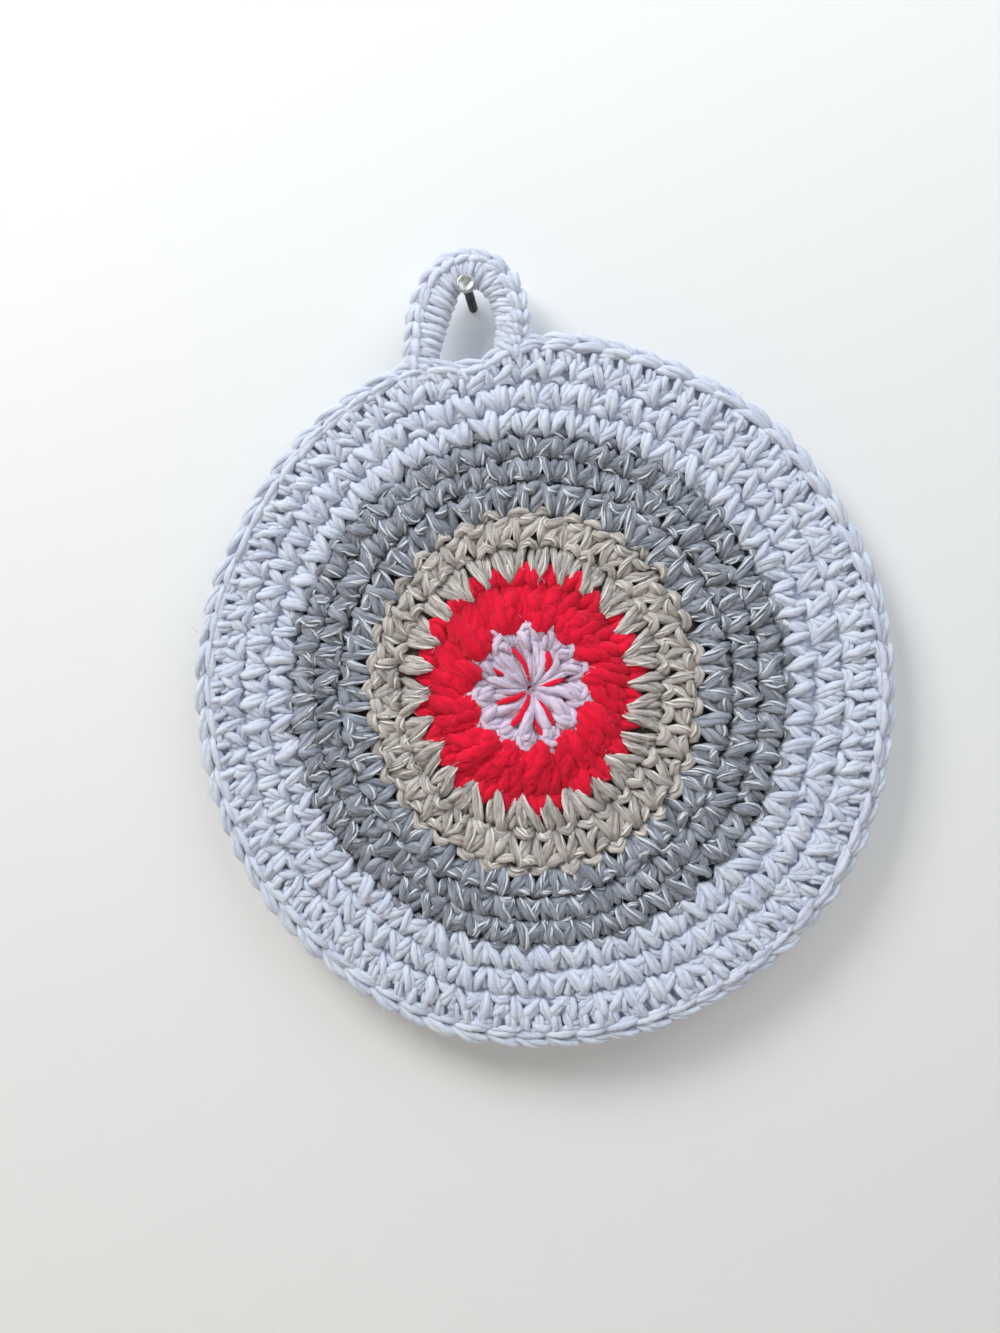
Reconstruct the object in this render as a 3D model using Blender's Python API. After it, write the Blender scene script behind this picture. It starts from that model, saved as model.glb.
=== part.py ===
"""A round crocheted pot holder with its hanging loop, on the nail that it hangs from.

Metres, with +Z up, +Y into the wall and +X to the right as one faces the wall.
The origin is the middle of the nail, where it enters the wall.
Angles round the cloth run clockwise from the top, as one faces it.
"""

import math
from collections import namedtuple

import bmesh
import bpy
from mathutils import Vector

MM = 0.001

# The cloth, in millimetres. Its rounds are worked outwards from the first ring of stitches.
CLOTH_MIDDLE_X = 15.8
CLOTH_MIDDLE_Z = -107.3
CLOTH_PLANE_Y = -9.5
Round = namedtuple("Round", "name half_width half_height shift_x shift_z crest")
ROUNDS = (
    Round("lilac petals", 16.5, 17.5, 0.0, 0.0, 3.3),
    Round("red puffs", 28.9, 31.4, -0.4, -0.2, 3.4),
    Round("first beige", 37.4, 40.4, 0.3, -0.4, 3.2),
    Round("second beige", 45.3, 49.3, 1.4, -1.1, 3.2),
    Round("tall grey", 55.2, 57.8, 1.5, -0.5, 3.3),
    Round("second grey", 61.8, 64.1, 2.1, -0.6, 3.2),
    Round("third grey", 68.2, 70.3, 2.7, -0.9, 3.2),
    Round("first white", 75.9, 77.7, 3.3, -0.7, 3.3),
    Round("second white", 83.2, 84.9, 3.7, -0.5, 3.3),
    Round("third white", 89.6, 91.2, 4.2, -0.7, 3.2),
    Round("edge chain", 95.1, 97.1, 4.4, -0.8, 2.9),
)
VALLEY = 2.1  # half the cloth's thickness between two rounds
EDGE_HALF = 1.5  # half the height of its rounded edge
FACETS = 78  # six for each petal and three for each puff
PETALS = 13
PUFFS = 26
FRONT_SHARES = (0.30, 0.70, 1.0)
BACK_SHARES = (0.5, 1.0)
PETAL_GROOVE = 1.5
PUFF_GROOVE = 1.0

# The edge is drawn in where the loop hangs from it.
LOOP_ANGLE = -13.0
LOOP_DIP = 5.4
LOOP_DIP_SPREAD = 6.5
DIP_FADE = 10  # powers of the radius by which the dip and the edge's waves
WAVE_FADE = 3  # die away towards the middle

# Unevenness of handwork: waves round the edge, and the cloth's slow bend out of its plane.
Wave = namedtuple("Wave", "count height phase")
EDGE_WAVES = (Wave(3, 0.25, 40.0), Wave(5, 0.30, 110.0), Wave(9, 0.25, 15.0))
BEND_HEIGHT = 1.1
BEND_TURN = 55.0

# The hanging loop: stations along its strip from the left foot over the nail to the right foot.
Station = namedtuple("Station", "x z width")
LOOP = (
    Station(-14.2, -17.0, 8.6),
    Station(-13.6, -12.4, 10.0),
    Station(-13.0, -8.2, 11.6),
    Station(-11.9, -3.7, 12.2),
    Station(-10.0, 1.2, 11.4),
    Station(-7.2, 5.2, 10.4),
    Station(-3.9, 7.3, 10.2),
    Station(-0.4, 7.8, 10.2),
    Station(3.7, 6.9, 9.6),
    Station(7.2, 3.9, 9.3),
    Station(9.8, -0.7, 9.0),
    Station(11.0, -5.2, 8.2),
    Station(11.4, -8.6, 7.9),
    Station(11.1, -11.6, 8.3),
)
LOOP_DEPTH = 5.6
LOOP_STEPS = 2  # rings of the mesh between two stations
LOOP_SIDES = 14
LOOP_PLANE_Y = -10.4
LOOP_GAP = 0.35  # from its feet to the cloth's edge

# The nail leans a little up and to the left on its way out of the wall.
NAIL_LENGTH = 16.0
NAIL_LEAN_X = -0.10
NAIL_LEAN_Z = 0.10
SHANK_RADIUS = 1.3
HEAD_RADIUS = 2.5
HEAD_THICK = 1.1
HEAD_DIMPLE = 0.35
NAIL_SIDES = 24

COLOURS = {
    "cloth": (0.74, 0.76, 0.84, 1.0),
    "loop": (0.74, 0.76, 0.84, 1.0),
    "steel": (0.42, 0.43, 0.44, 1.0),
}


def clear_scene():
    """Removes whatever the file opened with."""
    for thing in list(bpy.data.objects):
        bpy.data.objects.remove(thing, do_unlink=True)


def material(name, roughness, metallic=0.0):
    """A Principled material in one of the part's colours."""
    made = bpy.data.materials.new(name)
    made.use_nodes = True
    shader = made.node_tree.nodes["Principled BSDF"]
    shader.inputs["Base Color"].default_value = COLOURS[name]
    shader.inputs["Roughness"].default_value = roughness
    shader.inputs["Metallic"].default_value = metallic
    return made


def place(name, mesh, finish):
    """Puts a bmesh into the scene as a smooth object of one material."""
    bmesh.ops.recalc_face_normals(mesh, faces=mesh.faces)
    data = bpy.data.meshes.new(name)
    mesh.to_mesh(data)
    mesh.free()
    data.shade_smooth()
    data.materials.append(finish)
    made = bpy.data.objects.new(name, data)
    bpy.context.scene.collection.objects.link(made)
    return made


def unevenness(angle, share):
    """How far a round stands out of its ellipse at an angle, from its share of the full radius."""
    waves = sum(w.height * math.cos(math.radians(w.count * angle + w.phase)) for w in EDGE_WAVES)
    off = (angle - LOOP_ANGLE + 180.0) % 360.0 - 180.0
    dip = LOOP_DIP * math.exp(-((off / LOOP_DIP_SPREAD) ** 2))
    return waves * share**WAVE_FADE - dip * share**DIP_FADE


def boundary(index, angle):
    """The outer edge of a round at an angle, across and up from the cloth's middle."""
    turn = math.radians(angle)
    if index < 0:
        return 0.0, 0.0
    ring = ROUNDS[index]
    grown = unevenness(angle, ring.half_width / ROUNDS[-1].half_width)
    x = ring.shift_x + (ring.half_width + grown) * math.sin(turn)
    z = ring.shift_z + (ring.half_height + grown) * math.cos(turn)
    return x, z


def bend(x, z):
    """The cloth's slow bend towards the room, in millimetres."""
    radius = math.hypot(x, z) / ROUNDS[-1].half_width
    turn = math.atan2(x, z)
    return BEND_HEIGHT * radius**2 * math.cos(2.0 * turn + math.radians(BEND_TURN))


def relief(index, share, angle):
    """Half the cloth's thickness at a place in a round."""
    ring = ROUNDS[index]
    rise = math.sin(math.pi * min(share, 1.0)) ** 0.5 if share < 1.0 else 0.0
    half = VALLEY + (ring.crest - VALLEY) * rise
    if index == 0:
        half -= PETAL_GROOVE * share * (0.5 - 0.5 * math.cos(math.radians(PETALS * angle)))
    elif index == 1 and share < 1.0:
        half -= PUFF_GROOVE * (0.5 - 0.5 * math.cos(math.radians(PUFFS * angle)))
    return half


def cloth_point(index, share, angle, side, half=None):
    """A point of the cloth's face (side -1, to the room) or of its back (side 1)."""
    inner = boundary(index - 1, angle)
    outer = boundary(index, angle)
    x = inner[0] + (outer[0] - inner[0]) * share
    z = inner[1] + (outer[1] - inner[1]) * share
    half = relief(index, share, angle) if half is None else half
    y = CLOTH_PLANE_Y - bend(x, z) + side * half
    return Vector((CLOTH_MIDDLE_X + x, y, CLOTH_MIDDLE_Z + z)) * MM


def cloth_rings(side, shares):
    """The rings of one face, from the middle to the last valley before the rounded edge."""
    angles = [360.0 * k / FACETS for k in range(FACETS)]
    for index in range(len(ROUNDS)):
        for share in shares:
            if index == len(ROUNDS) - 1 and share == 1.0:
                continue
            yield [cloth_point(index, share, angle, side) for angle in angles]


def edge_rings():
    """The three rings that round the cloth's edge, from its face to its back."""
    angles = [360.0 * k / FACETS for k in range(FACETS)]
    last = len(ROUNDS) - 1
    for side, share, half in ((-1, 0.97, EDGE_HALF), (1, 1.0, 0.0), (1, 0.97, EDGE_HALF)):
        yield [cloth_point(last, share, angle, side, half) for angle in angles]


def bridge(mesh, rings):
    """Quads between each ring of vertices and the next."""
    for inner, outer in zip(rings, rings[1:]):
        count = len(inner)
        for k in range(count):
            after = (k + 1) % count
            mesh.faces.new((inner[k], inner[after], outer[after], outer[k]))


def fan(mesh, middle, ring):
    """Triangles from a middle vertex to a ring."""
    for k, vertex in enumerate(ring):
        mesh.faces.new((middle, vertex, ring[(k + 1) % len(ring)]))


def build_cloth():
    """The round cloth: one solid whose rounds stand up as ribs on both faces."""
    mesh = bmesh.new()
    back = list(cloth_rings(1, BACK_SHARES))
    points = list(cloth_rings(-1, FRONT_SHARES)) + list(edge_rings()) + back[::-1]
    rings = [[mesh.verts.new(point) for point in ring] for ring in points]
    bridge(mesh, rings)
    for side, ring in ((-1, rings[0]), (1, rings[-1])):
        fan(mesh, mesh.verts.new(cloth_point(0, 0.0, 0.0, side, VALLEY)), ring)
    return place("crocheted_disc", mesh, material("cloth", 0.95))


def smooth_between(before, start, end, after, share):
    """A Catmull-Rom value between start and end."""
    slope_in = (end - before) / 2.0
    slope_out = (after - start) / 2.0
    cube = 2.0 * start - 2.0 * end + slope_in + slope_out
    square = -3.0 * start + 3.0 * end - 2.0 * slope_in - slope_out
    return ((cube * share + square) * share + slope_in) * share + start


def loop_stations():
    """The loop's stations with smooth ones between them."""
    last = len(LOOP) - 1
    for k in range(last):
        four = [LOOP[min(max(k + step, 0), last)] for step in (-1, 0, 1, 2)]
        for step in range(LOOP_STEPS):
            share = step / LOOP_STEPS
            yield Station(*(smooth_between(*values, share) for values in zip(*four)))
    yield LOOP[-1]


def seat(point):
    """Moves a point of a foot to just outside the cloth's faceted edge."""
    last = ROUNDS[-1]
    across = (point.x - CLOTH_MIDDLE_X - last.shift_x) / last.half_width
    up = (point.z - CLOTH_MIDDLE_Z - last.shift_z) / last.half_height
    facet, share = divmod(math.degrees(math.atan2(across, up)) * FACETS / 360.0, 1.0)
    corners = [Vector(boundary(len(ROUNDS) - 1, 360.0 * (facet + k) / FACETS)) for k in (0, 1)]
    edge = corners[0].lerp(corners[1], share)
    edge += edge.normalized() * LOOP_GAP
    return Vector((CLOTH_MIDDLE_X + edge.x, point.y, CLOTH_MIDDLE_Z + edge.y))


def build_loop():
    """The hanging loop: a flat rounded strip that arches over the nail, foot to foot."""
    stations = list(loop_stations())
    mesh = bmesh.new()
    rings = []
    for k, here in enumerate(stations):
        before = stations[max(k - 1, 0)]
        after = stations[min(k + 1, len(stations) - 1)]
        along = Vector((after.x - before.x, 0.0, after.z - before.z)).normalized()
        across = Vector((-along.z, 0.0, along.x))
        ring = []
        for side in range(LOOP_SIDES):
            turn = 2.0 * math.pi * side / LOOP_SIDES
            offset = across * (here.width / 2.0 * math.cos(turn))
            offset.y = LOOP_DEPTH / 2.0 * math.sin(turn)
            point = Vector((here.x, LOOP_PLANE_Y, here.z)) + offset
            if k in (0, len(stations) - 1):
                point = seat(point)
            ring.append(mesh.verts.new(point * MM))
        rings.append(ring)
    bridge(mesh, rings)
    mesh.faces.new(rings[0][::-1])
    mesh.faces.new(rings[-1])
    return place("hanging_loop", mesh, material("loop", 0.95))


def nail_ring(mesh, out, radius):
    """A ring of the nail at a distance out of the wall, moved over by the nail's lean."""
    ring = []
    for side in range(NAIL_SIDES):
        turn = 2.0 * math.pi * side / NAIL_SIDES
        x = NAIL_LEAN_X * out + radius * math.cos(turn)
        z = NAIL_LEAN_Z * out + radius * math.sin(turn)
        ring.append(mesh.verts.new(Vector((x, -out, z)) * MM))
    return ring


def build_nail():
    """The nail: its shank, cut flat at the wall, and its round head with a shallow dimple."""
    under = NAIL_LENGTH - HEAD_THICK
    profile = (
        (0.0, SHANK_RADIUS),
        (under, SHANK_RADIUS),
        (under, HEAD_RADIUS - 0.3),
        (under + 0.3, HEAD_RADIUS),
        (NAIL_LENGTH - 0.3, HEAD_RADIUS),
        (NAIL_LENGTH, HEAD_RADIUS - 0.4),
        (NAIL_LENGTH, HEAD_RADIUS - 1.0),
        (NAIL_LENGTH - HEAD_DIMPLE, HEAD_RADIUS - 1.7),
    )
    mesh = bmesh.new()
    rings = [nail_ring(mesh, out, radius) for out, radius in profile]
    bridge(mesh, rings)
    mesh.faces.new(rings[0][::-1])
    mesh.faces.new(rings[-1])
    nail = place("nail", mesh, material("steel", 0.35, 1.0))
    nail.data.set_sharp_from_angle(angle=math.radians(40.0))
    return nail


def main():
    clear_scene()
    build_cloth()
    build_loop()
    build_nail()


main()
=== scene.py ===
"""The looks of a round crocheted pot holder that hangs by its loop from a nail.

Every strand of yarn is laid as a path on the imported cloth, and Geometry Nodes spin the yarn along it.
Metres in Blender, with +Z up and -Y towards the room. The plan below is in millimetres.
Angles round the cloth run clockwise from the top, as one faces it.
"""

import math
import random
from collections import namedtuple
from functools import partial

import bpy
from bpy.props import FloatProperty, FloatVectorProperty, IntProperty, PointerProperty
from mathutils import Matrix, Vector


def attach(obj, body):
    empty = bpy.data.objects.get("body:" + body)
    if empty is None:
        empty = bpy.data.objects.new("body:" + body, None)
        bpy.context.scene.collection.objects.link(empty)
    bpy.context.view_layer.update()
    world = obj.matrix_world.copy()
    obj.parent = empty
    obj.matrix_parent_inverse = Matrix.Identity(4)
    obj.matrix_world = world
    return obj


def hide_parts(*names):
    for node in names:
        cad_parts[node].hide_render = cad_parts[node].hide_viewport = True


bl_info = {
    "name": "Crocheted Pot Holder",
    "version": (1, 0, 0),
    "blender": (4, 5, 0),
    "location": "3D View > Sidebar > Pot Holder",
    "description": "Crochets a round pot holder stitch by stitch round its packed solids",
    "category": "Object",
}

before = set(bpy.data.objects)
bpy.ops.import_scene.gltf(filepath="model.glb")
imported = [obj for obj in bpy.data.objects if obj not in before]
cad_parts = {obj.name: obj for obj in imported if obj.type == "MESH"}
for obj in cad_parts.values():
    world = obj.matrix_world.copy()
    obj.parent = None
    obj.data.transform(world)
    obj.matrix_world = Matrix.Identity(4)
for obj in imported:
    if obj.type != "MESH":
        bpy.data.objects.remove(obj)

MM = 0.001
FRONT = Vector((0.0, -1.0, 0.0))


def linear(code):
    """The linear colour of an sRGB hex value."""
    parts = [int(code[k : k + 2], 16) / 255.0 for k in (1, 3, 5)]
    return tuple(c / 12.92 if c <= 0.04045 else ((c + 0.055) / 1.055) ** 2.4 for c in parts)


# ---------------------------------------------------------------- the plan, to which the solids are made

CLOTH_MIDDLE_X = 15.8
CLOTH_MIDDLE_Z = -107.3
CLOTH_PLANE_Y = -9.5
Round = namedtuple("Round", "name half_width half_height shift_x shift_z")
ROUNDS = [
    Round(*row)
    for row in (
        ("lilac petals", 16.5, 17.5, 0.0, 0.0), ("red puffs", 28.9, 31.4, -0.4, -0.2),
        ("first beige", 37.4, 40.4, 0.3, -0.4), ("second beige", 45.3, 49.3, 1.4, -1.1),
        ("tall grey", 55.2, 57.8, 1.5, -0.5), ("second grey", 61.8, 64.1, 2.1, -0.6),
        ("third grey", 68.2, 70.3, 2.7, -0.9), ("first white", 75.9, 77.7, 3.3, -0.7),
        ("second white", 83.2, 84.9, 3.7, -0.5), ("third white", 89.6, 91.2, 4.2, -0.7),
        ("edge chain", 95.1, 97.1, 4.4, -0.8),
    )
]
LOOP_ANGLE = -13.0
LOOP_DIP = 5.4
LOOP_DIP_SPREAD = 6.5
DIP_FADE = 10
WAVE_FADE = 3
Wave = namedtuple("Wave", "count height phase")
EDGE_WAVES = (Wave(3, 0.25, 40.0), Wave(5, 0.30, 110.0), Wave(9, 0.25, 15.0))
BEND_HEIGHT = 1.1
BEND_TURN = 55.0

# The strip of the hanging loop, from its left foot to its right: how far across, how far up, how wide.
LOOP = [
    Vector(station)
    for station in (
        (-14.2, -17.0, 8.6), (-13.6, -12.4, 10.0), (-13.0, -8.2, 11.6), (-11.9, -3.7, 12.2),
        (-10.0, 1.2, 11.4), (-7.2, 5.2, 10.4), (-3.9, 7.3, 10.2), (-0.4, 7.8, 10.2), (3.7, 6.9, 9.6),
        (7.2, 3.9, 9.3), (9.8, -0.7, 9.0), (11.0, -5.2, 8.2), (11.4, -8.6, 7.9), (11.1, -11.6, 8.3),
    )
]
LOOP_PLANE_Y = -10.4

NAIL_LENGTH = 16.0
NAIL_LEAN_X = -0.10
NAIL_LEAN_Z = 0.10
SHANK_RADIUS = 1.3
HEAD_RADIUS = 2.5
HEAD_THICK = 1.1
HEAD_DIMPLE = 0.35


def unevenness(angle, share):
    """How far a round stands out of its ellipse at an angle, from its share of the full radius."""
    waves = sum(w.height * math.cos(math.radians(w.count * angle + w.phase)) for w in EDGE_WAVES)
    dip = LOOP_DIP * math.exp(-((turn_between(LOOP_ANGLE, angle) / LOOP_DIP_SPREAD) ** 2))
    return waves * share**WAVE_FADE - dip * share**DIP_FADE


def turn_between(start, end):
    """The shorter turn from one angle to another."""
    return (end - start + 180.0) % 360.0 - 180.0


def boundary(index, angle):
    """The outer edge of a round at an angle, across and up from the cloth's middle."""
    if index < 0:
        return 0.0, 0.0
    ring = ROUNDS[index]
    turn = math.radians(angle)
    grown = unevenness(angle, ring.half_width / ROUNDS[-1].half_width)
    x = ring.shift_x + (ring.half_width + grown) * math.sin(turn)
    return x, ring.shift_z + (ring.half_height + grown) * math.cos(turn)


def bend(x, z):
    """The cloth's slow bend towards the room."""
    radius = math.hypot(x, z) / ROUNDS[-1].half_width
    return BEND_HEIGHT * radius**2 * math.cos(2.0 * math.atan2(x, z) + math.radians(BEND_TURN))


def place(angle, reach, height=0.0):
    """A point of the cloth: its angle, its reach in rounds, and its height towards the room."""
    index = min(int(reach), len(ROUNDS) - 1)
    inner, outer = boundary(index - 1, angle), boundary(index, angle)
    x, z = (low + (high - low) * (reach - index) for low, high in zip(inner, outer))
    return Vector((CLOTH_MIDDLE_X + x, CLOTH_PLANE_Y - bend(x, z) - height, CLOTH_MIDDLE_Z + z))


def depth_of(index):
    """How wide a round is from its inner to its outer edge."""
    return ROUNDS[index].half_width - (ROUNDS[index - 1].half_width if index else 0.0)


def reach_of(index, along):
    """The reach of a place in a round. A place below 0 dips into the round before, to the same scale."""
    return index + (along * depth_of(index) / depth_of(index - 1) if along < 0.0 else along)


# ---------------------------------------------------------------- what a user may change


def length(name, about, default, least, most):
    """A length that a user can change, given in millimetres."""
    return FloatProperty(
        name=name, description=about, unit="LENGTH", default=default * MM, min=least * MM, max=most * MM
    )


def colour(name, about, code):
    """A colour that a user can change."""
    return FloatVectorProperty(
        name=name, description=about, subtype="COLOR", size=3, min=0.0, max=1.0, default=linear(code)
    )


class PotHolderSizes(bpy.types.PropertyGroup):
    """Sizes of the yarn."""

    yarn: length("Yarn radius", "Half the thickness of the cotton yarn of the stitches", 1.45, 0.5, 2.5)
    puff: length("Red yarn radius", "Half the thickness of the softer yarn of the red round", 2.7, 0.5, 3.0)
    fleck: length("Thread radius", "Half the thickness of the thread on grey and beige", 0.33, 0.1, 0.8)
    plies: IntProperty(
        name="Plies", description="How many plies the cotton yarn is spun of", default=3, min=1, max=6
    )
    spread: FloatProperty(
        name="Ply spread", description="How far the plies lie from the yarn's middle, in its radii",
        default=0.42, min=0.0, max=0.8, subtype="FACTOR",
    )
    twist: length("Twist length", "Length of yarn in which its plies go once round", 34.0, 4.0, 60.0)
    fuzz: FloatProperty(
        name="Fuzz", description="Loose fibres on each square millimetre of the yarn that shows",
        default=0.066, min=0.0, max=0.5,
    )
    fibre: length("Fibre length", "Mean length of a loose fibre", 1.9, 0.5, 5.0)
    wander: FloatProperty(
        name="Wander", description="How uneven the handwork is", subtype="FACTOR",
        default=1.0, min=0.0, max=2.0,
    )
    seed: IntProperty(name="Seed", description="Fixed start of every random draw", default=11, min=0)


class PotHolderColours(bpy.types.PropertyGroup):
    """Colours of the yarns, the nail and the stage."""

    lilac: colour("Lilac", "Cotton of the petals in the middle", "#EBDAF2")
    red: colour("Red", "Soft cotton of the red round", "#EE1239")
    beige: colour("Beige", "Cotton of the two beige rounds", "#CDC5BE")
    grey: colour("Grey", "Cotton of the three grey rounds", "#9DA3AF")
    white: colour("White", "Cool white cotton of the outer rounds and the loop", "#E4ECFF")
    grey_thread: colour("Grey thread", "Bright thread along the grey yarn", "#DEE3EB")
    beige_thread: colour("Beige thread", "Pale thread along the beige yarn", "#EAE4DC")
    steel: colour("Steel", "Worn bright steel of the nail's head", "#C6C7C7")
    backdrop: colour("Backdrop", "Pale matte backdrop", "#E9EAE8")
    floor: colour("Floor", "Slightly warmer matte floor far below", "#DDD3C8")


# ---------------------------------------------------------------- nodes and materials

MATH, VECTOR = "ShaderNodeMath", "ShaderNodeVectorMath"
NOISE, RANGE = "ShaderNodeTexNoise", "ShaderNodeMapRange"
STORE, STORED = "GeometryNodeStoreNamedAttribute", "GeometryNodeInputNamedAttribute"


def feed(node, feeds):
    """Give inputs, in order or by name, a value or what they read: an output, or a node's first in use."""
    for key, value in feeds.items() if isinstance(feeds, dict) else enumerate(feeds):
        if isinstance(value, bpy.types.Node):
            value = next(output for output in value.outputs if output.enabled)
        if isinstance(value, bpy.types.NodeSocket):
            node.id_data.links.new(value, node.inputs[key])
        else:
            node.inputs[key].default_value = value


def add_node(tree, kind, feeds=(), **settings):
    """Add a node with its settings and what feeds its inputs."""
    node = tree.nodes.new(kind)
    node.location = (180.0 * len(tree.nodes), 0.0)
    for name, value in settings.items():
        setattr(node, name, value)
    feed(node, feeds)
    return node


def shader_of(name, **constants):
    """A new material, its Principled shader with constants on its own sockets, and a way to add nodes."""
    made = bpy.data.materials.new(name)
    made.use_nodes = True
    shader = made.node_tree.nodes["Principled BSDF"]
    feed(shader, {socket.replace("_", " "): value for socket, value in constants.items()})
    return made, shader, partial(add_node, made.node_tree)


def toned(colour_value, share):
    """A colour made darker or lighter, as four numbers."""
    return tuple(min(1.0, c * share) for c in colour_value) + (1.0,)


def set_ramp(ramp, tone, stops):
    """Set a colour ramp to shares of one tone, each at its place."""
    elements = ramp.color_ramp.elements
    for _ in stops[2:]:
        elements.new(0.5)
    for element, (where, share) in reversed(list(zip(elements, stops))):
        element.position = where
        element.color = toned(tone, share)


def yarn_material(name, middle, finish):
    """Spun cotton yarn, matte, with combed fibres that wind slowly round it.

    Its fine fibres scatter light on and just below its surface, so it has hardly any gloss, soft shadows
    and a pale rim.
    """
    made, shader, add = shader_of(
        name, Roughness=0.92, IOR=1.53, Specular_IOR_Level=0.2, Sheen_Weight=finish.fuzz,
        Sheen_Roughness=0.5, Subsurface_Weight=0.35, Subsurface_Scale=0.8 * MM,
        Subsurface_Radius=(1.0, 1.0, 1.0),
    )
    fibre, strand, sunk, crest = (
        add("ShaderNodeAttribute", attribute_name=label) for label in ("fibre", "shade", "sunk", "crest")
    )
    here = add("ShaderNodeTexCoord").outputs["Object"]
    # Cotton fibres are 0.02 mm thick. They are drawn as locks as wide as the streak, so that they show.
    combing = (1.0 / finish.streak, 1.0 / finish.streak, 0.11 / finish.streak)
    combed = add("ShaderNodeMapping", {"Vector": fibre.outputs["Vector"], "Scale": combing})
    locks = add(NOISE, {"Vector": combed, "Scale": 1.0, "Detail": 3.0, "Roughness": 0.55, "Distortion": 0.4})
    # Slubs and worn places, 6 mm apart.
    slubs = add(NOISE, {"Vector": here, "Scale": 160.0, "Detail": 2.0, "Roughness": 0.6})
    worn = add(MATH, [slubs, 0.62], operation="MULTIPLY")
    mixed = add(MATH, [locks, 0.95, worn], operation="MULTIPLY_ADD")
    lifted = add(MATH, [strand.outputs["Fac"], 0.16, mixed], operation="MULTIPLY_ADD")
    ramp = add("ShaderNodeValToRGB", [lifted])
    set_ramp(ramp, middle, ((0.70, finish.deep), (0.88, 1.0), (1.0, finish.light)))
    # Painted shade: the colour is darkened where the yarn dives between its neighbours.
    painted_pit_shade = add(RANGE, {"Value": sunk.outputs["Fac"], "To Min": 1.0, "To Max": finish.pit})
    # Painted shade also darkens the grooves between the plies.
    painted_groove_shade = add(
        RANGE,
        {"Value": crest.outputs["Fac"], "From Min": 0.45, "From Max": 0.98, "To Min": finish.groove},
    )
    shadows = add(MATH, [painted_pit_shade, painted_groove_shade], operation="MULTIPLY")
    tinted = add(VECTOR, {0: ramp, "Scale": shadows}, operation="SCALE")
    # Painted bounce light: where painted shade falls, some of the colour of the yarn beneath is added, as if
    # lit by it.
    hollow = add(MATH, [1.0, shadows], operation="SUBTRACT")
    with_painted_bounce = add(VECTOR, [finish.glow, hollow, tinted], operation="MULTIPLY_ADD")
    # Loose fibre ends, brushed into a nap 0.7 mm across.
    nap = add(NOISE, {"Vector": here, "Scale": 1450.0, "Detail": 4.0, "Roughness": 0.75})
    height = add(MATH, [nap, 1.6, locks], operation="MULTIPLY_ADD")
    relief = add("ShaderNodeBump", {"Height": height, "Strength": finish.bump, "Distance": 0.5 * MM})
    feed(shader, {"Base Color": with_painted_bounce, "Normal": relief})
    return made


# How a yarn looks: its darker and lighter tones, its pale fuzz, how wide its locks of fibres are
# drawn in millimetres, their relief, how much brightness painted shade leaves deep down and between the
# plies, and the painted bounce light that the yarn beneath throws into the hollows.
Finish = namedtuple("Finish", "deep light fuzz streak bump pit groove glow")
DARK = (0.0, 0.0, 0.0)
YARNS = {
    "lilac": Finish(0.74, 1.12, 0.30, 0.34, 0.80, 0.35, 0.55, (0.30, 0.03, 0.08)),
    "red": Finish(0.82, 1.06, 0.12, 0.60, 0.45, 0.35, 0.72, DARK),
    "beige": Finish(0.66, 1.26, 0.30, 0.34, 0.80, 0.45, 0.70, DARK),
    "grey": Finish(0.62, 1.38, 0.30, 0.34, 0.80, 0.35, 0.65, DARK),
    "white": Finish(0.84, 1.05, 0.30, 0.34, 0.80, 1.00, 1.00, DARK),
    "beige thread": Finish(0.85, 1.05, 0.30, 0.34, 0.20, 0.35, 0.45, DARK),
    "grey thread": Finish(0.85, 1.05, 0.30, 0.34, 0.20, 0.35, 0.45, DARK),
}


def yarn_of(name):
    """The material of a yarn, made once."""
    label = name + " cotton yarn"
    tone = getattr(bpy.context.scene.pot_holder_colours, name.replace(" ", "_"))
    return bpy.data.materials.get(label) or yarn_material(label, tone, YARNS[name])


def inner_material(name):
    """The inner turns of the cotton, seen only deep between the stitches, coloured darker than the yarn as
    painted shade.
    """
    made, shader, add = shader_of(name, Roughness=0.95, Specular_IOR_Level=0.1)
    tint = add("ShaderNodeAttribute", attribute_name="round_colour")
    here = add("ShaderNodeTexCoord").outputs["Object"]
    # Threads 1.2 mm wide.
    threads = add(NOISE, {"Vector": here, "Scale": 830.0, "Detail": 2.0})
    uneven = add(RANGE, {"Value": threads, "To Min": 0.75, "To Max": 1.1})
    mixed = add(VECTOR, {0: tint, "Scale": uneven}, operation="SCALE")
    relief = add("ShaderNodeBump", {"Height": threads, "Strength": 0.6, "Distance": 0.4 * MM})
    feed(shader, {"Base Color": mixed, "Normal": relief})
    return made


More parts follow.
